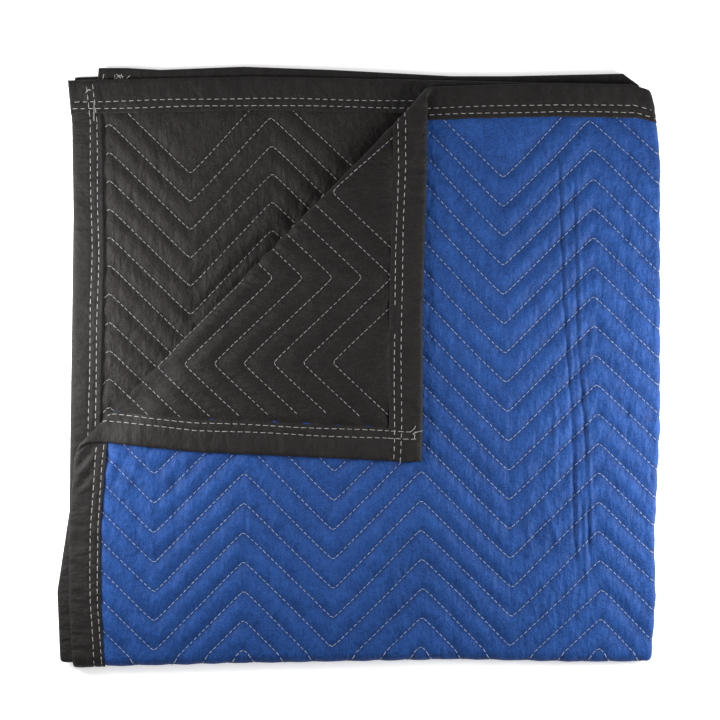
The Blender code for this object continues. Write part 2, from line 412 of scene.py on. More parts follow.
@dataclass(frozen=True)
class Quilting:
    """The quilting of the whole blanket: its rows, and the pillows that rise between them."""

    folding: Folding
    outer: Wave = Wave(peak=-0.0833, half_wave=0.1398, first_row=0.8467, row_pitch=0.04583, lean=0.0205)
    inner: Wave = Wave(
        peak=0.8540, half_wave=0.1265, first_row=0.8430, row_pitch=0.0440, tilt=0.035, steep=1.03
    )
    last_row: int = 1
    corner_shift: float = 0.0115
    corner_drift: float = 0.0455
    corner_stretch: float = 0.0567
    corner_starts: Fade = Fade(-0.008, 0.014)
    depth: float = 0.0027
    soften: float = 0.0018
    pillow: float = 0.0098
    crown: float = 0.0025
    pucker: float = 0.0010
    ripple_cell: float = 0.0085
    ripple_reach: float = 0.010
    ripple_jump: tuple[float, float] = (0.37, 0.05)
    crinkle: float = 0.00045
    crinkle_cell: float = 0.012
    crinkle_squeeze: tuple[float, float] = (2.2, 0.8)
    broad_share: float = 1.3
    broad_cell: float = 0.033
    broad_slant: tuple[float, float] = (0.7, 0.4)
    hem_depth: float = 0.0016
    hem_reach: float = 0.006
    seam_reach: float = 0.004
    mottle: Mottle = field(default_factory=lambda: Mottle(23))

    def drift(self, s: Array, t: Array) -> tuple[Array, Array]:
        """How far the rows have crept, across and along, where the corner is turned."""
        share = self.corner_starts.at(self.folding.past_turn(s, t)) * (np.asarray(s) < 0)
        return share * (self.corner_drift + self.corner_stretch * s), share * self.corner_shift

    def row_at(self, s: Array, t: Array) -> Array:
        """Which row a point of the cut blanket is on, as a number that is whole on a row."""
        across, along = self.drift(s, t)
        return np.where(s < 0, self.outer.row_at(s + across, t + along), self.inner.row_at(s, t))

    def off_row(self, s: Array, t: Array) -> Array:
        """Distance from the nearest row.

        Args:
            s: Across the cut blanket.
            t: Along the cut blanket.

        Returns:
            Metres.
        """
        row = self.row_at(s, t)
        pitch = np.where(s < 0, self.outer.row_pitch, self.inner.row_pitch)
        return np.abs(row - np.minimum(np.round(row), self.last_row)) * pitch / math.sqrt(2)

    def inside_binding(self, s: Array, t: Array) -> Array:
        """Distance from the binding's inner edge, in the straight square."""
        return self.folding.open_edge - np.maximum(np.abs(s), np.abs(t))

    def relief(self, s: Array, t: Array, square_s: Array, square_t: Array) -> Array:
        """Height of the quilted cloth against the frame's surface.

        Args:
            s: Across the cut blanket.
            t: Along the cut blanket.
            square_s: Across the straight square.
            square_t: Along the straight square.

        Returns:
            Metres outwards.
        """
        off = np.sqrt(self.off_row(s, t) ** 2 + self.soften**2)
        full = 1 - np.exp(-off / self.pillow)
        edge = np.exp(-np.maximum(self.inside_binding(square_s, square_t), 0.0) / self.hem_reach)
        height = self.crown * full * (1 - edge) - self.depth * (1 - full)
        # Each row of quilting reads its own stretch of the random values.
        row = np.round(self.row_at(s, t))
        ripple = self.mottle.at(s + self.ripple_jump[0] * row, self.ripple_jump[1] * row, self.ripple_cell)
        height += self.pucker * ripple * np.exp(-off / self.ripple_reach)
        squeeze, slant = self.crinkle_squeeze, self.broad_slant
        height += self.crinkle * self.mottle.at(s * squeeze[0], t * squeeze[1], self.crinkle_cell)
        broad = self.mottle.at(s + slant[0] * t, t - slant[1] * s, self.broad_cell)
        height += self.broad_share * self.crinkle * broad
        return height - self.hem_depth * edge

    def seam(self, s: Array, t: Array) -> Array:
        """1 on a row, fading to 0 away from it: the mask of the painted shade along the rows."""
        return np.exp(-self.off_row(s, t) / self.seam_reach)


PACKING_CREASES = pressed_in(
    ((-0.158, 0.83), (-0.149, 0.52), 0.0026, -0.0020), ((-0.153, 0.82), (-0.144, 0.50), 0.0024, 0.0015),
    ((-0.151, 0.60), (-0.120, 0.10), 0.0030, -0.0026), ((-0.145, 0.58), (-0.115, 0.12), 0.0026, 0.0019),
    ((-0.135, 0.80), (-0.127, 0.46), 0.0024, -0.0019), ((-0.130, 0.78), (-0.122, 0.47), 0.0024, 0.0014),
    ((-0.137, 0.50), (-0.126, 0.24), 0.0026, -0.0020), ((-0.129, 0.52), (-0.098, 0.12), 0.0028, -0.0024),
    ((-0.123, 0.50), (-0.093, 0.14), 0.0024, 0.0017), ((-0.112, 0.34), (-0.104, 0.05), 0.0028, 0.0017),
    ((-0.166, 0.44), (-0.158, 0.26), 0.0030, 0.0014), ((-0.205, 0.34), (-0.196, 0.14), 0.0052, 0.0015),
    ((-0.238, 0.36), (-0.226, 0.16), 0.0048, -0.0014), ((-0.262, 0.33), (-0.252, 0.19), 0.0045, 0.0014),
    ((-0.180, 0.27), (-0.147, 0.17), 0.0046, 0.0016), ((-0.197, 0.24), (-0.170, 0.14), 0.0046, -0.0014),
    ((-0.285, 0.42), (-0.276, 0.28), 0.0046, 0.0012), ((-0.330, 0.80), (-0.300, 0.52), 0.0060, -0.0014),
    ((-0.318, 0.62), (-0.306, 0.40), 0.0050, 0.0014), ((-0.344, 0.86), (-0.322, 0.78), 0.0060, 0.0019),
    ((-0.420, 0.30), (-0.405, 0.06), 0.0055, 0.0011), ((-0.560, 0.26), (-0.552, 0.05), 0.0055, -0.0011),
    ((-0.640, 0.33), (-0.628, 0.18), 0.0048, 0.0014), ((-0.735, 0.34), (-0.722, 0.16), 0.0048, 0.0016),
    ((-0.752, 0.33), (-0.748, 0.12), 0.0046, -0.0015), ((-0.790, 0.34), (-0.782, 0.10), 0.0048, 0.0016),
    ((-0.812, 0.30), (-0.804, 0.14), 0.0046, -0.0014), ((-0.818, 0.338), (-0.850, 0.272), 0.0042, -0.0019),
    ((-0.834, 0.338), (-0.858, 0.290), 0.0038, 0.0016), ((-0.800, 0.332), (-0.838, 0.252), 0.0044, 0.0016),
    ((-0.775, 0.350), (-0.800, 0.318), 0.0042, -0.0016), ((-0.060, 0.80), (-0.048, 0.30), 0.0055, -0.0011),
    ((-0.078, 0.62), (-0.026, 0.57), 0.0055, 0.0014), ((-0.085, 0.55), (-0.030, 0.53), 0.0050, -0.0014),
    ((-0.074, 0.70), (-0.030, 0.66), 0.0050, -0.0012),
)
BINDING_CREASES = pressed_in(
    ((-0.905, 0.325), (-0.876, 0.360), 0.0040, 0.0022), ((-0.903, 0.308), (-0.872, 0.342), 0.0038, -0.0022),
    ((-0.906, 0.291), (-0.874, 0.325), 0.0038, 0.0020), ((-0.902, 0.276), (-0.876, 0.304), 0.0036, -0.0019),
    ((-0.906, 0.262), (-0.878, 0.286), 0.0036, 0.0016), ((0.905, 0.815), (0.870, 0.842), 0.0035, -0.0013),
    ((0.908, 0.795), (0.880, 0.808), 0.0030, 0.0009), ((-0.345, 0.900), (-0.300, 0.880), 0.0035, 0.0010),
    ((-0.338, 0.905), (-0.312, 0.872), 0.0030, -0.0010),
    ((-0.250, 0.905), (-0.246, 0.870), 0.0030, -0.0008),
    ((-0.130, 0.905), (-0.132, 0.868), 0.0028, -0.0008), ((0.560, 0.905), (0.556, 0.870), 0.0030, -0.0008),
    ((0.705, 0.905), (0.712, 0.872), 0.0030, 0.0008),
)


def crease_relief(creases: Sequence[Crease], s: Array, t: Array) -> Array:
    """Add up the soft ridges and troughs of a table of creases.

    Args:
        creases: The table.
        s: Across the cut blanket.
        t: Along the cut blanket.

    Returns:
        Height at each point.
    """
    height = np.zeros(np.broadcast(s, t).shape)
    for crease in creases:
        run = np.subtract(crease.end, crease.start)
        length = float(np.hypot(*run))
        along = ((s - crease.start[0]) * run[0] + (t - crease.start[1]) * run[1]) / length**2
        off = ((s - crease.start[0]) * run[1] - (t - crease.start[1]) * run[0]) / length
        ends = smooth(along / 0.2) * smooth((1 - along) / 0.2)
        height += crease.rise * ends * np.exp(-((off / crease.width) ** 2))
    return height


def stations(*spans: tuple[float, float, float]) -> Array:
    """Places along a sheet, from spans of (start, end, largest step)."""
    runs = [np.linspace(a, b, max(2, math.ceil(abs(b - a) / step) + 1)) for a, b, step in spans]
    return np.unique(np.concatenate(runs).round(6))


def deselect_all() -> None:
    """Leave nothing selected, as the frame's nodes are after loading."""
    bpy.ops.object.select_all(action="DESELECT")


def finish_mesh(piece: bpy.types.Object, name: str, material: bpy.types.Material) -> None:
    """Name and dress a piece, and let it ride on the blanket.

    Args:
        piece: The object.
        name: Its name.
        material: Its finish.
    """
    piece.name = name
    piece.data.name = name
    piece.data.materials.clear()
    piece.data.materials.append(material)
    piece.data.shade_smooth()
    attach(piece, "root")
    log.info("%s: %d faces", name, len(piece.data.polygons))


def grid_sheet(
    across: Array,
    along: Array,
    shape: Callable[[Array, Array], tuple[Array, Array, Array]],
    outward: Side,
) -> bpy.types.Object:
    """A sheet from a flat grid, its points moved to their folded places, with a map of the flat cloth.

    Args:
        across: The grid's lines in its first direction.
        along: The grid's lines in its second direction.
        shape: Gives the folded points, the flat cloth's coordinates and the quilting's depth at each point.
        outward: Which way its faces point.

    Returns:
        The new object.
    """
    deselect_all()
    bpy.ops.mesh.primitive_grid_add(
        x_subdivisions=len(across) - 1, y_subdivisions=len(along) - 1, size=2, calc_uvs=True
    )
    piece = bpy.context.object
    mesh = piece.data
    flat = np.empty(len(mesh.vertices) * 3)
    mesh.vertices.foreach_get("co", flat)
    flat = flat.reshape(-1, 3)
    a = np.interp(flat[:, 0], np.linspace(-1, 1, len(across)), across)
    b = np.interp(flat[:, 1], np.linspace(-1, 1, len(along)), along)
    points, cloth, seam = shape(a, b)
    mesh.vertices.foreach_set("co", points.reshape(-1))
    corners = np.empty(len(mesh.loops), dtype=np.int32)
    mesh.loops.foreach_get("vertex_index", corners)
    mesh.uv_layers[0].name = "flat"
    mesh.uv_layers[0].uv.foreach_set("vector", cloth[corners].reshape(-1))
    # The mask of the painted shade along the rows of stitches.
    mesh.attributes.new("seam", "FLOAT", "POINT").data.foreach_set("value", seam)
    if outward is Side.BACK:
        mesh.flip_normals()
    mesh.update()
    return piece


@dataclass(frozen=True)
class QuiltedCloth:
    """One of the two outer cloths, from edge to edge, with the quilting pressed into it where it shows."""

    folding: Folding
    quilting: Quilting
    side: Side
    hem: float = 0.012
    tucked: float = 0.0014
    hidden_gap: float = 0.0003
    fine: float = 0.0042
    edge_step: float = 0.0006
    fold_step: float = 0.0018
    drawn_tight: float = 0.55
    fold_reach: float = 0.016
    corner_opens: Fade = Fade(0.33, 0.03)
    fold_hides: Fade = Fade(0.004, 0.02)
    on_floor: Fade = Fade(0.03, 0.02)
    under_flap: Fade = Fade(0.328, 0.010)
    on_roll: Fade = Fade(-0.004, 0.006)
    before_roll: Fade = Fade(-0.002, 0.006)
    under_top: Fade = Fade(0.022, 0.015)
    gutter: float = 0.0034
    gutter_middle: float = 0.006
    gutter_reach: float = 0.015
    gutter_starts: Fade = Fade(-0.22, 0.15)

    @property
    def rests_on(self) -> list[str]:
        """The cloth that it lies on once folded."""
        return ["black_back"] if self.side is Side.FACE else ["blue_face"]

    def shows(self, s: Array, t: Array) -> Array:
        """Where the cloth can be seen.

        Args:
            s: Across the cut blanket.
            t: Along the cut blanket.

        Returns:
            1 in the open, 0 where it is hidden between the layers.
        """
        if self.side is Side.FACE:
            return 1 - self.fold_hides.at(s)
        return self.corner_opens.at(np.abs(s)) * self.corner_opens.at(t)

    def pressed(self, s: Array, t: Array) -> Array:
        """Where the floor or another layer presses the pillows level.

        Args:
            s: Across the cut blanket.
            t: Along the cut blanket.

        Returns:
            1 where they are pressed level, 0 where they stand free.
        """
        past = self.folding.past_turn(s, t)
        if self.side is Side.FACE:
            flap = self.under_flap.at(-s) * self.under_flap.at(t)
            return np.maximum(self.on_floor.at(-t), np.maximum(flap, self.on_roll.at(past)))
        top = self.under_top.at(-self.folding.past_turn(-s, t))
        return np.where(s < 0, self.before_roll.at(-past), top)

    def sunk(self, s: Array, t: Array) -> Array:
        """How far the cloth is sunk along the turned corner, where the roll's weight lies on it.

        Args:
            s: Across the cut blanket.
            t: Along the cut blanket.

        Returns:
            Metres inwards.
        """
        off = self.folding.past_turn(-s, t) - self.gutter_middle
        under_roll = (s > 0) * self.gutter_starts.at(t - s)
        return self.gutter * under_roll * np.exp(-((off / self.gutter_reach) ** 2))

    def height(self, s: Array, t: Array, square_s: Array, square_t: Array) -> Array:
        """Distance of the cloth's outside from the middle of the blanket.

        Args:
            s: Across the cut blanket.
            t: Along the cut blanket.
            square_s: Across the straight square.
            square_t: Along the straight square.

        Returns:
            Metres outwards.
        """
        relief = self.quilting.relief(s, t, square_s, square_t)
        if self.side is Side.FACE:
            relief = relief + crease_relief(PACKING_CREASES, s, t)
        nearest_fold = np.minimum(np.abs(s), np.abs(t))
        relief = relief * (1 - self.drawn_tight * np.exp(-((nearest_fold / self.fold_reach) ** 2)))
        relief = relief - self.pressed(s, t) * np.maximum(relief, 0.0)
        if self.side is Side.BACK:
            relief = relief - self.sunk(s, t)
        shown = self.shows(s, t)
        open_cloth = self.folding.surface + shown * relief - (1 - shown) * self.hidden_gap
        inside = self.quilting.inside_binding(square_s, square_t)
        return np.where(inside > -self.edge_step / 3, open_cloth, self.tucked)

    def shape(self, a: Array, b: Array) -> tuple[Array, Array, Array]:
        """Carry the grid to the folded blanket.

        Args:
            a: Across the straight square.
            b: Along the straight square.

        Returns:
            The folded points, the flat cloth's coordinates and the quilting's seams.
        """
        s, t = self.folding.cut_shape(a, b)
        points = self.folding.place(s, t, self.side.value * self.height(s, t, a, b))
        return points, np.stack([s, t], axis=-1), self.quilting.seam(s, t)

    def lines(self) -> tuple[Array, Array]:
        """The grid's lines: close where the cloth shows and at the folds, wide apart where it is hidden.

        Returns:
            The lines across and the lines along.
        """
        edge, hem, opens = self.folding.open_edge, self.folding.half - self.hem, self.corner_opens.start
        tucked_end = (edge + self.edge_step, hem, 0.02)
        tucked_start = (-hem, -edge - self.edge_step, 0.02)
        bend, front = 0.012, 0.03
        if self.side is Side.FACE:
            # The deepest packing creases need closer lines.
            creased = (-0.172, -0.090)
            across = (
                tucked_start, (-edge, creased[0], self.fine), (*creased, 0.0023),
                (creased[1], -bend, self.fine), (-bend, bend, self.fold_step), (bend, edge, 0.03), tucked_end,
            )
            along = (
                tucked_start, (-edge, -front, 0.0075), (-front, front, 0.0022), (front, edge, self.fine),
                tucked_end,
            )
        else:
            across = (
                tucked_start, (-edge, -opens, self.fine), (-opens, -bend, 0.03), (-bend, bend, 0.002),
                (bend, opens, 0.03), (opens, edge, self.fine), tucked_end,
            )
            along = (
                (-hem, -front, 0.04), (-front, front, 0.003), (front, opens, 0.03), (opens, edge, self.fine),
                tucked_end,
            )
        return stations(*across), stations(*along)

    def build(self, name: str, node: str, material: bpy.types.Material) -> None:
        """Make the cloth.

        Args:
            name: The piece's name.
            node: The frame's node that it stands for.
            material: Its finish.
        """
        piece = grid_sheet(*self.lines(), self.shape, self.side)
        finish_mesh(piece, name, material)
        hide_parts(node)


class Edge(enum.Enum):
    """The blanket's four edges, as the sign of s or t there and whether the edge runs along t."""

    LEFT = (-1, True)
    RIGHT = (1, True)
    HEAD = (1, False)
    FOOT = (-1, False)

    @property
    def runs_along_t(self) -> bool:
        """Whether it is one of the two side edges."""
        return self.value[1]


@dataclass(frozen=True)
class BindingStrip:
    """A strip of binding folded over one edge of the blanket and sewn through with two rows."""

    folding: Folding
    edge: Edge
    width: float = 0.0505
    rows: tuple[float, float] = (0.0340, 0.0455)
    proud: float = 0.0004
    crown: float = 0.0005
    row_depth: float = 0.0008
    row_reach: float = 0.0022
    ripple: float = 0.0007
    ripple_cell: float = 0.009
    wave: float = 0.0005
    wave_cell: float = 0.028
    lap: float = 0.0008
    lap_fades: tuple[float, float] = (0.006, 0.004)
    lap_starts: tuple[float, float] = (0.002, 0.004)
    end_taper: float = 0.0022
    end_share: float = 0.15
    map_gap: float = 0.06
    drawn_in: float = 0.0012
    drawn_thin: float = 0.10
    step: float = 0.0034
    mottle: Mottle = field(default_factory=lambda: Mottle(31))

    def square(self, along: Array, depth: Array) -> tuple[Array, Array]:
        """Points of the straight square, from their place along the edge and their distance inside it."""
        across = self.edge.value[0] * (self.folding.half - depth)
        return (across, along) if self.edge.runs_along_t else (along, across)

    def rise(self, along: Array, depth: Array, side: Number) -> Array:
        """Distance of the strip's outside from the middle of the blanket, on its open stretch.

        Args:
            along: Place along the edge, in the straight square.
            depth: Distance inside the edge.
            side: 1 on the face, -1 on the back.

        Returns:
            Metres outwards.
        """
        s, t = self.folding.cut_shape(*self.square(along, depth))
        height = self.folding.surface + self.proud
        height = height + self.crown * np.sin(math.pi * np.clip(depth / self.rows[0], 0, 1))
        for row in self.rows:
            height = height - self.row_depth * np.exp(-(((depth - row) / self.row_reach) ** 2))
        height = height + self.ripple * self.mottle.at(along, depth * 0.5 + 0.2 * side, self.ripple_cell)
        height = height + self.wave * self.mottle.at(along * 0.4, depth + side, self.wave_cell)
        height = height + crease_relief(BINDING_CREASES, s, t)
        if not self.edge.runs_along_t:
            laps = Fade(self.folding.open_edge - self.lap_starts[0], self.lap_fades[0])
            height = height + self.lap * laps.at(np.abs(along))
        return height

    def section(self) -> list[tuple[float, float, int]]:
        """The strip's section from its inner edge on the face to its inner edge on the back.

        Returns:
            Rows of (depth inside the edge, share of the rise, side).
        """
        # The inner edge is turned under, and the outer edge is rounded over the blanket's own.
        turned_under = ((0.0, 0.45), (0.0001, 0.80), (-0.0005, 0.97))
        rounded_over = ((0.0042, 0.93), (0.0018, 0.72), (0.0005, 0.40))
        half = [(self.width + depth, share) for depth, share in turned_under]
        half += [(float(depth), 1.0) for depth in np.linspace(0.0075, self.width - 0.0022, 15)[::-1]]
        half += rounded_over
        face = [(depth, share, 1) for depth, share in half]
        back = [(depth, share, -1) for depth, share in reversed(half)]
        return face + [(0.0, 0.0, 1)] + back

    def ends(self) -> tuple[float, float]:
        """Where the strip starts and stops: the side strips stop short, under the other two."""
        reach = self.folding.half + (-0.006 if self.edge.runs_along_t else 0.0006)
        return -reach, reach

    def shape(self, a: Array, b: Array) -> tuple[Array, Array, Array]:
        """Carry the grid to the folded blanket.

        Args:
            a: Along the strip.
            b: Round its section, as a row of the section.

        Returns:
            The folded points, the flat strip's coordinates and the sewn rows.
        """
        section = np.array(self.section())
        order = np.arange(len(section))
        depth = np.interp(b, order, section[:, 0])
        share = np.interp(b, order, section[:, 1])
        side = np.where(b < (len(section) - 1) / 2, 1.0, -1.0)
        w = side * share * self.rise(a, np.minimum(depth, self.width), side)
        if self.edge.runs_along_t:
            # The side strips are drawn in where the end strips lie over them.
            under = Fade(self.folding.open_edge - self.lap_starts[1], self.lap_fades[1]).at(np.abs(a))
            depth = depth + self.drawn_in * under
            w = w * (1 - self.drawn_thin * under)
        else:
            w = w * np.clip(self.end_share + (self.ends()[1] - np.abs(a)) / self.end_taper, 0.0, 1.0)
        s, t = self.folding.cut_shape(*self.square(a, depth))
        # The mask of the painted shade along the sewn rows.
        seam = sum(np.exp(-(((depth - row) / self.row_reach) ** 2)) for row in self.rows)
        return self.folding.place(s, t, w), np.stack([a, depth + self.map_gap * side], axis=-1), seam

    def build(self, name: str, node: str, material: bpy.types.Material) -> None:
        """Make the strip.

        Args:
            name: The piece's name.
            node: The frame's node that it stands for.
            material: Its finish.
        """
        low, high = self.ends()
        tip, fold = 0.003, 0.03
        across = stations(
            (low, low + tip, 0.001), (low + tip, -fold, self.step), (-fold, fold, 0.0022),
            (fold, high - tip, self.step), (high - tip, high, 0.001),
        )
        along = np.arange(len(self.section()), dtype=float)
        outward = Side.FACE if self.edge in (Edge.LEFT, Edge.HEAD) else Side.BACK
        piece = grid_sheet(across, along, self.shape, outward)
        finish_mesh(piece, name, material)
        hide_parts(node)


class StitchRun(NamedTuple):
    """Stitches on the cut blanket: their middles and their directions."""

    s: Array
    t: Array
    angle: Array


@dataclass(frozen=True)
class Thread:
    """One kind of stitch: it stands up by its arch at its middle and is sunk in the cloth at its ends."""

    length: float
    pitch: float
    radius: float
    lift: float = 0.0004
    sunk: float = 0.0005
    arch: float = 0.00055


QUILTING_THREAD = Thread(length=0.0071, pitch=0.0088, radius=0.00042, lift=0.0002)
BINDING_THREAD = Thread(length=0.0092, pitch=0.0122, radius=0.00054, lift=0.0001)
LOOSE_THREAD = Thread(length=0.0036, pitch=0.0026, radius=0.00055, lift=0.0010, sunk=0.0, arch=0.0001)
B_CORNER_ENDS = (
    ((0.8811, 0.893), (0.8850, 0.8935), (0.8890, 0.8895)),
    ((0.8765, 0.872), (0.8770, 0.846)),
)
TURNED_CORNER_ENDS = (
    ((-0.8837, 0.8700), (-0.8870, 0.8690), (-0.8916, 0.8642)),
    ((-0.8957, 0.8660), (-0.8925, 0.8740), (-0.8908, 0.8820)),
    ((-0.8957, 0.8673), (-0.8985, 0.8695), (-0.9025, 0.8690)),
)
THIRD_CORNER_ENDS = (
    ((0.8400, -0.9185), (0.8340, -0.9130), (0.8370, -0.9060)),
    ((0.8325, -0.9185), (0.8300, -0.9120), (0.8280, -0.9060)),
    ((0.8185, -0.9165), (0.8235, -0.9125), (0.8270, -0.9080), (0.8320, -0.9060)),
    ((0.8420, -0.9100), (0.8355, -0.9165), (0.8300, -0.9150)),
    ((0.8604, -0.9185), (0.8620, -0.9120), (0.8650, -0.9070)),
)


def stitch_template() -> tuple[Array, list[list[int]]]:
    """One stitch, modelled once: a five-sided thread along X that narrows at both ends, 1 long and 1 wide.

    Returns:
        Its points and its faces.
    """
    deselect_all()
    bpy.ops.mesh.primitive_cylinder_add(
        vertices=5, radius=1.0, depth=1.0, end_fill_type="NGON", rotation=(0, math.pi / 2, 0)
    )
    piece = bpy.context.object
    bpy.ops.object.transform_apply(location=True, rotation=True, scale=True)
    bpy.ops.object.mode_set(mode="EDIT")
    # Two cuts part the thick middle from the two ends, which then narrow.
    for cut in (-0.28, 0.28):
        bpy.ops.mesh.select_all(action="SELECT")
        bpy.ops.mesh.bisect(plane_co=(cut, 0, 0), plane_no=(1, 0, 0))
    bpy.ops.object.mode_set(mode="OBJECT")
    points = np.array([vertex.co[:] for vertex in piece.data.vertices])
    faces = [list(face.vertices) for face in piece.data.polygons]
    mesh = piece.data
    bpy.data.objects.remove(piece, do_unlink=True)
    bpy.data.meshes.remove(mesh)
    points[:, 1:] *= np.where(np.abs(points[:, :1]) > 0.4, 0.55, 1.0)
    return points, faces


@dataclass(frozen=True)
class Stitching:
    """Lays stitches along rows of the cut blanket and joins them into one piece."""

    folding: Folding
    points: Array
    faces: list[list[int]]

    def build(
        self,
        name: str,
        runs: Sequence[StitchRun],
        height: Callable[[Array, Array], Array],
        side: Side,
        thread: Thread,
        material: bpy.types.Material,
        slot: str,
    ) -> None:
        """Make one piece of stitches.

        Args:
            name: The piece's name.
            runs: The stitches.
            height: Height of the cloth under points of the cut blanket.
            side: Which face of the blanket they are on.
            thread: The kind of stitch.
            material: Its finish.
            slot: Not used.
        """
        s = np.concatenate([run.s for run in runs])[:, None]
        t = np.concatenate([run.t for run in runs])[:, None]
        angle = np.concatenate([run.angle for run in runs])[:, None]
        vary = np.random.default_rng(5)
        length = thread.length * vary.uniform(0.9, 1.08, s.shape)
        angle = angle + vary.normal(0.0, 0.035, s.shape)
        u, v, h = (self.points[None, :, axis] for axis in range(3))
        line_s = s + u * length * np.cos(angle)
        line_t = t + u * length * np.sin(angle)
        arch = thread.lift + thread.arch * (1 - (2 * u) ** 2) - thread.sunk * (2 * u) ** 6
        w = height(line_s, line_t) + arch + h * thread.radius
        at_s = line_s - v * thread.radius * np.sin(angle)
        at_t = line_t + v * thread.radius * np.cos(angle)
        places = self.folding.place(at_s, at_t, side.value * w, least=0.0001).reshape(-1, 3)
        count, size = len(s), len(self.points)
        loops = np.array([len(face) for face in self.faces])
        order = np.concatenate([np.array(face) for face in self.faces])
        all_loops = (order[None, :] + size * np.arange(count)[:, None]).reshape(-1)
        totals = np.tile(loops, count)
        starts = np.concatenate([[0], np.cumsum(totals)[:-1]])
        mesh = bpy.data.meshes.new(name)
        mesh.vertices.add(len(places))
        mesh.vertices.foreach_set("co", places.reshape(-1))
        mesh.loops.add(len(all_loops))
        mesh.loops.foreach_set("vertex_index", all_loops.astype(np.int32))
        mesh.polygons.add(len(totals))
        mesh.polygons.foreach_set("loop_start", starts.astype(np.int32))
        mesh.update(calc_edges=True)
        mesh.validate()
        if side is Side.BACK:
            mesh.flip_normals()
        piece = bpy.data.objects.new(name, mesh)
        bpy.context.scene.collection.objects.link(piece)
        finish_mesh(piece, name, material)


@dataclass(frozen=True)
class StitchPlan:
    """Where the blanket's stitches show, on each face."""

    folding: Folding
    quilting: Quilting
    farthest_row: float = 2.1
    stagger: float = 0.0009
    beside: float = 0.001
    hem_gap: float = 0.0005
    second_row_starts: float = 0.004
    wander: float = 0.0006
    wander_turns: float = 31
    corner_opens: float = 0.33
    inner_opens: float = 0.478
    past_fold: float = 0.006
    front: float = -0.012
    roll_hides: float = 0.006
    flap_hides: float = -0.03
    under_flap: tuple[float, float, float] = (-0.43, 0.42, 0.9)

    def quilted(self, side: Side, top: bool) -> StitchRun:
        """The stitches of the quilting on one face.

        Args:
            side: Which face.
            top: The upper half, or the underside.

        Returns:
            The stitches.
        """
        open_edge = self.folding.open_edge
        halves = [(self.quilting.outer, -open_edge, self.past_fold)]
        if side is Side.BACK:
            halves = [
                (self.quilting.outer, -open_edge, -self.corner_opens),
                (self.quilting.inner, self.inner_opens, open_edge),
            ]
        found = []
        for wave, low, high in halves:
            s_places = np.arange(low, high, QUILTING_THREAD.pitch / math.sqrt(2))
            for row in range(-math.ceil(self.farthest_row / wave.row_pitch), self.quilting.last_row + 1):
                s = s_places + (row % 7) * self.stagger
                steps = (0, -self.beside, self.beside)
                t, before, after = (self.row_height(wave, row, s + step) for step in steps)
                found.append(np.stack([s, t, np.arctan((after - before) / (2 * self.beside))]))
        s, t, angle = np.concatenate(found, axis=1)
        keep = self.in_view(s, t, side, top)
        return StitchRun(s[keep], t[keep], angle[keep])

    def row_height(self, wave: Wave, row: int, s: Array) -> Array:
        """Where a row runs along t, closer each round where the rows have crept.

        Args:
            wave: The row's zigzag.
            row: Which row.
            s: Places across the cut blanket.

        Returns:
            Their places along it.
        """
        start = wave.first_row + row * wave.row_pitch
        t = start - wave.zigzag(s, wave.leans_along.start)
        for _ in range(4):
            across, along = self.quilting.drift(s, t)
            t = start - wave.zigzag(s + across, t + along) - along
        return t

    def in_view(self, s: Array, t: Array, side: Side, top: bool) -> Array:
        """Which points of the cut blanket are open cloth that can be seen.

        Args:
            s: Across the cut blanket.
            t: Along the cut blanket.
            side: Which face.
            top: The upper half, or the underside.

        Returns:
            True where a stitch is worth making.
        """
        inside = self.quilting.inside_binding(*self.folding.straight_shape(s, t)) > self.hem_gap
        past = self.folding.past_turn(s, t)
        if side is Side.FACE:
            if not top:
                return inside & (t <= self.front)
            most_s, least_t, least_apart = self.under_flap
            hidden = (s < most_s) & (t > least_t) & (t - s > least_apart)
            return inside & (t > self.front) & (past < 0) & ~hidden
        mirrored = self.folding.past_turn(-s, t)
        return inside & (t > 0) & np.where(s < 0, past > self.roll_hides, mirrored > self.flap_hides)

    def bound(self, strip: BindingStrip, spans: Sequence[Sequence[tuple[float, float]]]) -> list[StitchRun]:
        """The two rows of stitches along a binding strip.

        Args:
            strip: The strip.
            spans: For each row, its stretches along the edge.

        Returns:
            One run for each stretch.
        """
        runs = []
        for order, (row, stretches) in enumerate(zip(strip.rows, spans)):
            for low, high in stretches:
                along = np.arange(low, high, BINDING_THREAD.pitch) + self.second_row_starts * order
                depth = row + self.wander * np.sin(along * self.wander_turns + order)
                s, t = self.folding.cut_shape(*strip.square(along, depth))
                next_s, next_t = self.folding.cut_shape(*strip.square(along + self.beside, depth))
                angle = np.arctan2(next_t - t, next_s - s)
                runs.append(StitchRun(s, t, angle))
        return runs

    def loose(self, ends: Sequence[Sequence[tuple[float, float]]]) -> list[StitchRun]:
        """Loose ends of thread.

        Args:
            ends: For each, the points of the cut blanket that it lies along.

        Returns:
            One run for each.
        """
        runs = []
        for points in ends:
            line = np.array(points)
            reach = np.concatenate([[0.0], np.cumsum(np.hypot(*np.diff(line, axis=0).T))])
            middles = np.arange(LOOSE_THREAD.pitch / 2, reach[-1], LOOSE_THREAD.pitch)
            behind, (s, t), ahead = (
                [np.interp(middles + step, reach, line[:, axis]) for axis in (0, 1)]
                for step in (-0.8 * self.beside, 0.0, 0.8 * self.beside)
            )
            runs.append(StitchRun(s, t, np.arctan2(ahead[1] - behind[1], ahead[0] - behind[0])))
        return runs


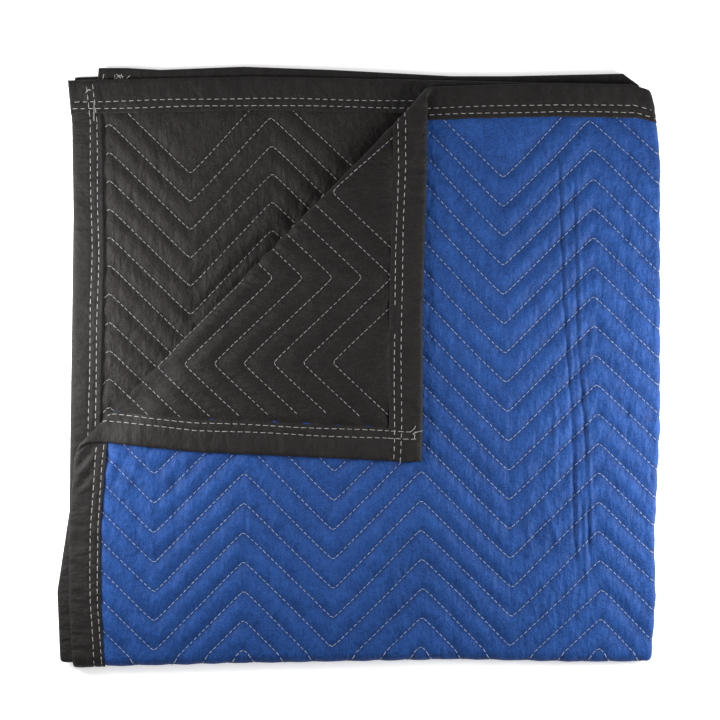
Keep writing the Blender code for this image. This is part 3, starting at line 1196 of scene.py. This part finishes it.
@dataclass(frozen=True)
class Value:
    """A socket of a shader, with arithmetic: an expression adds its Math nodes."""

    graph: "Graph"
    socket: bpy.types.NodeSocket

    def math(self, operation: str, *others: "Union[Value, float]") -> "Value":
        """Add a Math node with this value as its first input."""
        inputs = {index + 1: other for index, other in enumerate(others)}
        return self.graph.add("ShaderNodeMath", {"operation": operation}, {0: self, **inputs})

    def __add__(self, other: "Union[Value, float]") -> "Value":
        """Add."""
        return self.math("ADD", other)

    __radd__ = __add__

    def __mul__(self, other: "Union[Value, float]") -> "Value":
        """Multiply."""
        return self.math("MULTIPLY", other)

    __rmul__ = __mul__

    def __sub__(self, other: "Union[Value, float]") -> "Value":
        """Subtract."""
        return self.math("SUBTRACT", other)

    def __rsub__(self, other: float) -> "Value":
        """Subtract this value from a number."""
        return self.math("MULTIPLY", -1.0).math("ADD", other)

    def sine(self) -> "Value":
        """Sine."""
        return self.math("SINE")

    def ridge(self) -> "Value":
        """Of noise: 1 along its middle value, falling away to both sides."""
        return (self - 0.5).math("ABSOLUTE") * -2.0 + 1.0

    def clamp(self, low: float, high: float) -> "Value":
        """Keep between two numbers."""
        return self.math("MINIMUM", high).math("MAXIMUM", low)


class Graph:
    """The node tree of one material."""

    def __init__(self, name: str) -> None:
        """Start a material with its shader and output.

        Args:
            name: The material's name.
        """
        self.material = bpy.data.materials.new(name)
        self.material.use_nodes = True
        self.tree = self.material.node_tree
        self.shader = self.tree.nodes["Principled BSDF"]

    def add(self, kind: str, settings: dict, inputs: dict, output: Union[int, str] = 0) -> Value:
        """Add a node.

        Args:
            kind: The node's type.
            settings: Its properties, set first.
            inputs: Values or links of its sockets.
            output: Which of its outputs to use.

        Returns:
            That output.
        """
        node = self.tree.nodes.new(kind)
        for key, setting in settings.items():
            setattr(node, key, setting)
        for key, given in inputs.items():
            if isinstance(given, Value):
                self.tree.links.new(given.socket, node.inputs[key])
            else:
                node.inputs[key].default_value = given
        return Value(self, node.outputs[output])

    def flat(self) -> Value:
        """The map of the flat cloth, in metres."""
        return self.add("ShaderNodeUVMap", {"uv_map": "flat"}, {}, "UV")

    def parts(self, vector: Value) -> tuple[Value, Value]:
        """The first two parts of a vector."""
        first = self.add("ShaderNodeSeparateXYZ", {}, {0: vector})
        return first, Value(self, first.socket.node.outputs[1])

    def seam(self) -> Value:
        """1 on a seam, fading to 0 away from it: the mask of the painted shade along the rows."""
        return self.add("ShaderNodeAttribute", {"attribute_name": "seam"}, {}, "Fac")

    def noise(self, vector: Value, stretch: tuple[float, float, float], scale: float, detail: float) -> Value:
        """Soft noise between 0 and 1, its cells stretched along the cloth."""
        mapped = self.add("ShaderNodeVectorMath", {"operation": "MULTIPLY"}, {0: vector, 1: stretch})
        return self.add("ShaderNodeTexNoise", {}, {"Vector": mapped, "Scale": scale, "Detail": detail}, "Fac")

    def blend(self, low: Union[tuple, Value], high: tuple, share: Value) -> Value:
        """A colour between two colours.

        Args:
            low: The colour at a share of 0.
            high: The colour at a share of 1.
            share: How much of the second.

        Returns:
            The colour.
        """
        start = low if isinstance(low, Value) else (*low, 1.0)
        settings = {"data_type": "RGBA", "clamp_factor": True}
        return self.add("ShaderNodeMix", settings, {0: share, 6: start, 7: (*high, 1.0)}, 2)

    def bump(self, height: Value, distance: float, strength: float = 1.0) -> Value:
        """A bump from a height."""
        inputs = {"Height": height, "Distance": distance, "Strength": strength}
        return self.add("ShaderNodeBump", {}, inputs, "Normal")

    def finish(self, links: dict, constants: dict) -> bpy.types.Material:
        """Feed the shader.

        Args:
            links: Values that vary over the surface.
            constants: Values that are the same all over.

        Returns:
            The material.
        """
        for key, value in links.items():
            self.tree.links.new(value.socket, self.shader.inputs[key])
        for key, value in constants.items():
            self.shader.inputs[key].default_value = value
        return self.material


class Grain(NamedTuple):
    """A soft pattern in a woven cloth: its cells, and its shares of the shade and of the relief."""

    stretch: float
    scale: float
    detail: float
    shade: float
    relief: float


CREASES = Grain(0.20, 95.0, 2.0, shade=0.5, relief=1.5)
FOLDS = Grain(0.45, 46.0, 1.0, shade=0.0, relief=2.2)
BROAD = Grain(1.0, 7.0, 2.0, shade=0.5, relief=0.0)
BLOTCHES = Grain(0.8, 38.0, 4.0, shade=0.8, relief=3.2)
CRUMPLES = Grain(0.62, 165.0, 2.0, shade=0.9, relief=1.7)
THREADS = Grain(0.10, 620.0, 1.0, shade=0.45, relief=0.20)
SPECKS = Grain(1.0, 410.0, 1.0, shade=1.0, relief=0.45)


@dataclass(frozen=True)
class WovenFinish:
    """A woven cloth: two shades, its threads, creases left by packing, and painted shade along its seams."""

    name: str
    light: tuple[float, float, float]
    dark: tuple[float, float, float]
    # The colour of the painted shade along the rows of stitches.
    seam: tuple[float, float, float]
    roughness: float
    thread: float
    thread_depth: float
    crinkle_depth: float
    sheen: float
    seam_shade_share: float = 0.75
    grain: float = 1.7
    # How much darker the cloth is made on one half, and over what span that eases in.
    darker_half: float = 0.0
    darkening_reach: float = 0.2
    middle_shade: float = 0.505
    rough_spread: float = 0.12

    def material(self) -> bpy.types.Material:
        """Build the material.

        Returns:
            The material.
        """
        graph = Graph(self.name)
        flat = graph.flat()
        across, along = graph.parts(flat)
        weave = (across * (math.tau / self.thread)).sine() * (along * (math.tau / self.thread)).sine()
        specks = graph.noise(flat, (1.0, SPECKS.stretch, 1.0), SPECKS.scale, SPECKS.detail)
        shade = (specks - 0.5) * self.grain + self.middle_shade
        height = weave * self.thread_depth + specks * (SPECKS.relief * self.crinkle_depth)
        found = {}
        for grain in (CREASES, FOLDS, BROAD, BLOTCHES, CRUMPLES, THREADS):
            noise = graph.noise(flat, (1.0, grain.stretch, 1.0), grain.scale, grain.detail)
            found[grain] = noise
            if grain.shade:
                shade = shade + (noise - 0.5) * grain.shade
            if grain in (BLOTCHES, CRUMPLES, THREADS):
                height = height + noise * (grain.relief * self.crinkle_depth)
        patchy = ((found[BROAD] - 0.38) * 3.5).clamp(0.12, 1.0)
        height = height + found[CREASES].ridge() * patchy * (CREASES.relief * self.crinkle_depth)
        height = height + found[FOLDS].ridge() * (FOLDS.relief * self.crinkle_depth)
        # The cloth's colour is made darker over the half where the flat map's first coordinate is below 0,
        # which holds the turned-back corner.
        if self.darker_half:
            shade = shade + (across * (1 / self.darkening_reach)).clamp(-1.0, 0.0) * self.darker_half
        colour = graph.blend(self.dark, self.light, shade)
        # Painted shade: the colour is darkened along the rows of stitches, where the sunk channels lie in
        # shadow.
        colour = graph.blend(colour, self.seam, graph.seam() * self.seam_shade_share)
        rough = (found[BLOTCHES] - 0.5) * self.rough_spread + self.roughness
        links = {"Base Color": colour, "Normal": graph.bump(height, 1.0), "Roughness": rough}
        constants = {"Sheen Weight": self.sheen, "Sheen Roughness": 0.45, "Specular IOR Level": 0.20}
        return graph.finish(links, constants)


@dataclass(frozen=True)
class ThreadFinish:
    """A spun sewing thread."""

    name: str
    light: tuple[float, float, float]
    dark: tuple[float, float, float]

    def material(self) -> bpy.types.Material:
        """Build the material.

        Returns:
            The material.
        """
        graph = Graph(self.name)
        place = graph.add("ShaderNodeTexCoord", {}, {}, "Object")
        spun = graph.noise(place, (1.0, 1.0, 1.0), 900.0, 1.0)
        worn = graph.noise(place, (1.0, 1.0, 1.0), 60.0, 2.0)
        colour = graph.blend(self.dark, self.light, spun * 0.5 + worn * 0.8 - 0.15)
        links = {"Base Color": colour, "Normal": graph.bump(spun, 0.0003)}
        return graph.finish(links, {"Roughness": 0.6, "Sheen Weight": 0.2})


BLUE_CLOTH = WovenFinish(
    "blue_woven_cloth", light=(0.0170, 0.080, 0.305), dark=(0.0040, 0.030, 0.138), seam=(0.003, 0.022, 0.105),
    roughness=0.62, thread=0.0016, thread_depth=0.00006, crinkle_depth=0.0008, sheen=0.06,
)
BLACK_CLOTH = WovenFinish(
    "black_woven_cloth", light=(0.0208, 0.0176, 0.0162), dark=(0.0050, 0.0038, 0.0034),
    seam=(0.0035, 0.003, 0.003), roughness=0.66, thread=0.0018, thread_depth=0.00007,
    crinkle_depth=0.0008, sheen=0.06, grain=2.4, darker_half=0.28,
)
BLACK_BINDING = WovenFinish(
    "black_binding", light=(0.0165, 0.0145, 0.0137), dark=(0.0050, 0.0042, 0.0039),
    seam=(0.004, 0.0035, 0.0035), roughness=0.62, thread=0.0020, thread_depth=0.00009,
    crinkle_depth=0.0006, sheen=0.05, seam_shade_share=0.5,
)
OFF_WHITE_THREAD = ThreadFinish("off_white_thread", light=(0.46, 0.45, 0.43), dark=(0.20, 0.195, 0.185))
PALE_BLUE_THREAD = ThreadFinish("pale_thread_on_blue", light=(0.42, 0.49, 0.62), dark=(0.20, 0.27, 0.43))


class SoftBox(NamedTuple):
    """One square soft light, turned to the middle of the blanket."""

    name: str
    place: tuple[float, float, float]
    size: float
    power: float


@dataclass(frozen=True)
class Studio:
    """A pale floor, soft light from both sides and a camera straight above."""

    camera_height: float = 3.2
    view_width: float = 1.123
    view_middle: tuple[float, float] = (0.0011, 0.0109)
    floor_size: float = 6.0
    floor_glow: float = 0.52
    world_strength: float = 0.25
    soft_boxes: tuple[SoftBox, ...] = (
        SoftBox("left_soft_box", (-0.86, 0.08, 0.37), 0.42, 13.4),
        SoftBox("right_soft_box", (1.03, -0.11, 0.41), 0.45, 17.0),
        SoftBox("back_soft_box", (0.0, 1.9, 1.0), 1.0, 5.5),
    )

    def floor(self) -> None:
        """Lay the floor just under the blanket."""
        deselect_all()
        bpy.ops.mesh.primitive_plane_add(size=self.floor_size, location=(0, 0, -0.0004))
        floor = bpy.context.object
        floor.name = "floor"
        graph = Graph("pale_floor")
        place = graph.add("ShaderNodeTexCoord", {}, {}, "Object")
        grain = graph.noise(place, (1.0, 1.0, 1.0), 3.0, 2.0)
        colour = graph.blend((0.90, 0.90, 0.90), (0.93, 0.93, 0.93), grain)
        glow = {"Emission Color": (1.0, 1.0, 1.0, 1.0), "Emission Strength": self.floor_glow}
        floor.data.materials.append(graph.finish({"Base Color": colour}, {"Roughness": 0.9, **glow}))

    def soft_light(self, box: SoftBox) -> None:
        """Hang one soft box.

        Args:
            box: The light.
        """
        data = bpy.data.lights.new(box.name, "AREA")
        data.shape = "SQUARE"
        data.size = box.size
        data.energy = box.power
        light = bpy.data.objects.new(box.name, data)
        bpy.context.scene.collection.objects.link(light)
        light.location = box.place
        light.rotation_euler = (-light.location).to_track_quat("-Z", "Y").to_euler()

    def world(self) -> None:
        """Give even light from all round."""
        world = bpy.data.worlds.new("studio")
        bpy.context.scene.world = world
        world.use_nodes = True
        background = world.node_tree.nodes["Background"]
        background.inputs["Color"].default_value = (1.0, 1.0, 1.0, 1.0)
        background.inputs["Strength"].default_value = self.world_strength

    def camera(self) -> None:
        """Set the camera straight above, with +Y up in the picture."""
        data = bpy.data.cameras.new("camera")
        data.sensor_width = 36.0
        data.lens = data.sensor_width * self.camera_height / self.view_width
        camera = bpy.data.objects.new("camera", data)
        bpy.context.scene.collection.objects.link(camera)
        camera.location = (*self.view_middle, self.camera_height)
        bpy.context.scene.camera = camera

    def build(self) -> None:
        """Make the studio."""
        self.camera()
        self.floor()
        self.world()
        for box in self.soft_boxes:
            self.soft_light(box)
        bpy.context.scene.view_settings.view_transform = "Standard"


def both(*stretches: tuple[float, float]) -> tuple:
    """The same stretches for both rows of a strip."""
    return stretches, stretches


FOLDING = Folding()
QUILTING = Quilting(FOLDING)


@dataclass(frozen=True)
class Blanket:
    """The whole blanket: its cloths, its binding and its stitches, all carried by one folding."""

    face: QuiltedCloth = QuiltedCloth(FOLDING, QUILTING, Side.FACE)
    back: QuiltedCloth = QuiltedCloth(FOLDING, QUILTING, Side.BACK)
    left: BindingStrip = BindingStrip(FOLDING, Edge.LEFT)
    right: BindingStrip = BindingStrip(FOLDING, Edge.RIGHT, width=0.0475, rows=(0.0285, 0.0390))
    head: BindingStrip = BindingStrip(FOLDING, Edge.HEAD, width=0.0538, rows=(0.0345, 0.0455))
    foot: BindingStrip = BindingStrip(FOLDING, Edge.FOOT)

    def sheets(self) -> None:
        """Make the two cloths and the four strips."""
        self.face.build("blue_face", "face_cloth", BLUE_CLOTH.material())
        self.back.build("black_back", "back_cloth", BLACK_CLOTH.material())
        tape = BLACK_BINDING.material()
        for strip in (self.left, self.right, self.head, self.foot):
            edge = strip.edge.name.lower()
            strip.build(f"{edge}_binding", f"binding_{edge}", tape)

    def on_cloth(self, cloth: QuiltedCloth) -> Callable[[Array, Array], Array]:
        """Height of a cloth under points of the cut blanket."""
        return lambda s, t: cloth.height(s, t, *FOLDING.straight_shape(s, t))

    def on_strip(self, strip: BindingStrip, side: Side) -> Callable[[Array, Array], Array]:
        """Height of a binding strip under points of the cut blanket.

        Args:
            strip: The strip.
            side: Which face of the blanket.

        Returns:
            A function of s and t.
        """

        def height(s: Array, t: Array) -> Array:
            """Height of the strip, read in the straight square.

            Args:
                s: Across the cut blanket.
                t: Along the cut blanket.

            Returns:
                Metres outwards.
            """
            across, along = FOLDING.straight_shape(s, t)
            if not strip.edge.runs_along_t:
                across, along = along, across
            return strip.rise(along, FOLDING.half - np.abs(across), side.value)

        return height

    def stitches(self) -> None:
        """Sew the quilting and the binding, and leave the loose ends of thread."""
        plan = StitchPlan(FOLDING, QUILTING)
        sew = Stitching(FOLDING, *stitch_template()).build
        white, pale = OFF_WHITE_THREAD.material(), PALE_BLUE_THREAD.material()
        for name, cloth, top, thread, slot in (
            ("quilting_on_face", self.face, True, pale, "face_cloth"),
            ("quilting_underneath", self.face, False, pale, "face_cloth"),
            ("quilting_on_back", self.back, True, white, "back_cloth"),
        ):
            runs = [plan.quilted(cloth.side, top)]
            sew(name, runs, self.on_cloth(cloth), cloth.side, QUILTING_THREAD, thread, slot)

        left, right, head, foot = self.left, self.right, self.head, self.foot
        head_back = (((-0.912, -0.325), (0.33, 0.912)), ((-0.912, -0.727), (-0.678, -0.325), (0.33, 0.912)))
        for name, strip, spans, under, side in (
            ("left_rows_on_face", left, both((-0.86, 0.360)), left, Side.FACE),
            ("left_rows_on_back", left, both((0.33, 0.862)), left, Side.BACK),
            ("left_rows_over_head", left, both((0.8640, 0.9020)), head, Side.BACK),
            ("right_rows_on_back", right, both((0.30, 0.862)), right, Side.BACK),
            ("right_rows_over_head", right, both((0.863, 0.900)), head, Side.BACK),
            ("right_rows_over_foot", right, both((-0.900, -0.866)), foot, Side.FACE),
            ("head_rows_on_face", head, both((-0.345, 0.012)), head, Side.FACE),
            ("head_rows_on_back", head, head_back, head, Side.BACK),
            ("foot_rows_on_face", foot, both((-0.912, 0.012)), foot, Side.FACE),
        ):
            runs = plan.bound(strip, spans)
            sew(name, runs, self.on_strip(under, side), side, BINDING_THREAD, white, "binding")

        for name, ends, under, side in (
            ("thread_ends_at_corner", B_CORNER_ENDS, head, Side.BACK),
            ("thread_ends_on_turned_corner", TURNED_CORNER_ENDS, head, Side.BACK),
            ("thread_ends_at_third_corner", THIRD_CORNER_ENDS, foot, Side.FACE),
        ):
            runs = plan.loose(ends)
            sew(name, runs, self.on_strip(under, side), side, LOOSE_THREAD, white, "binding")


def main() -> None:
    """Build the studio and the blanket."""
    logging.basicConfig(level=logging.INFO, format="%(message)s")
    Studio().build()
    blanket = Blanket()
    blanket.sheets()
    blanket.stitches()


if __name__ == "__main__":
    main()
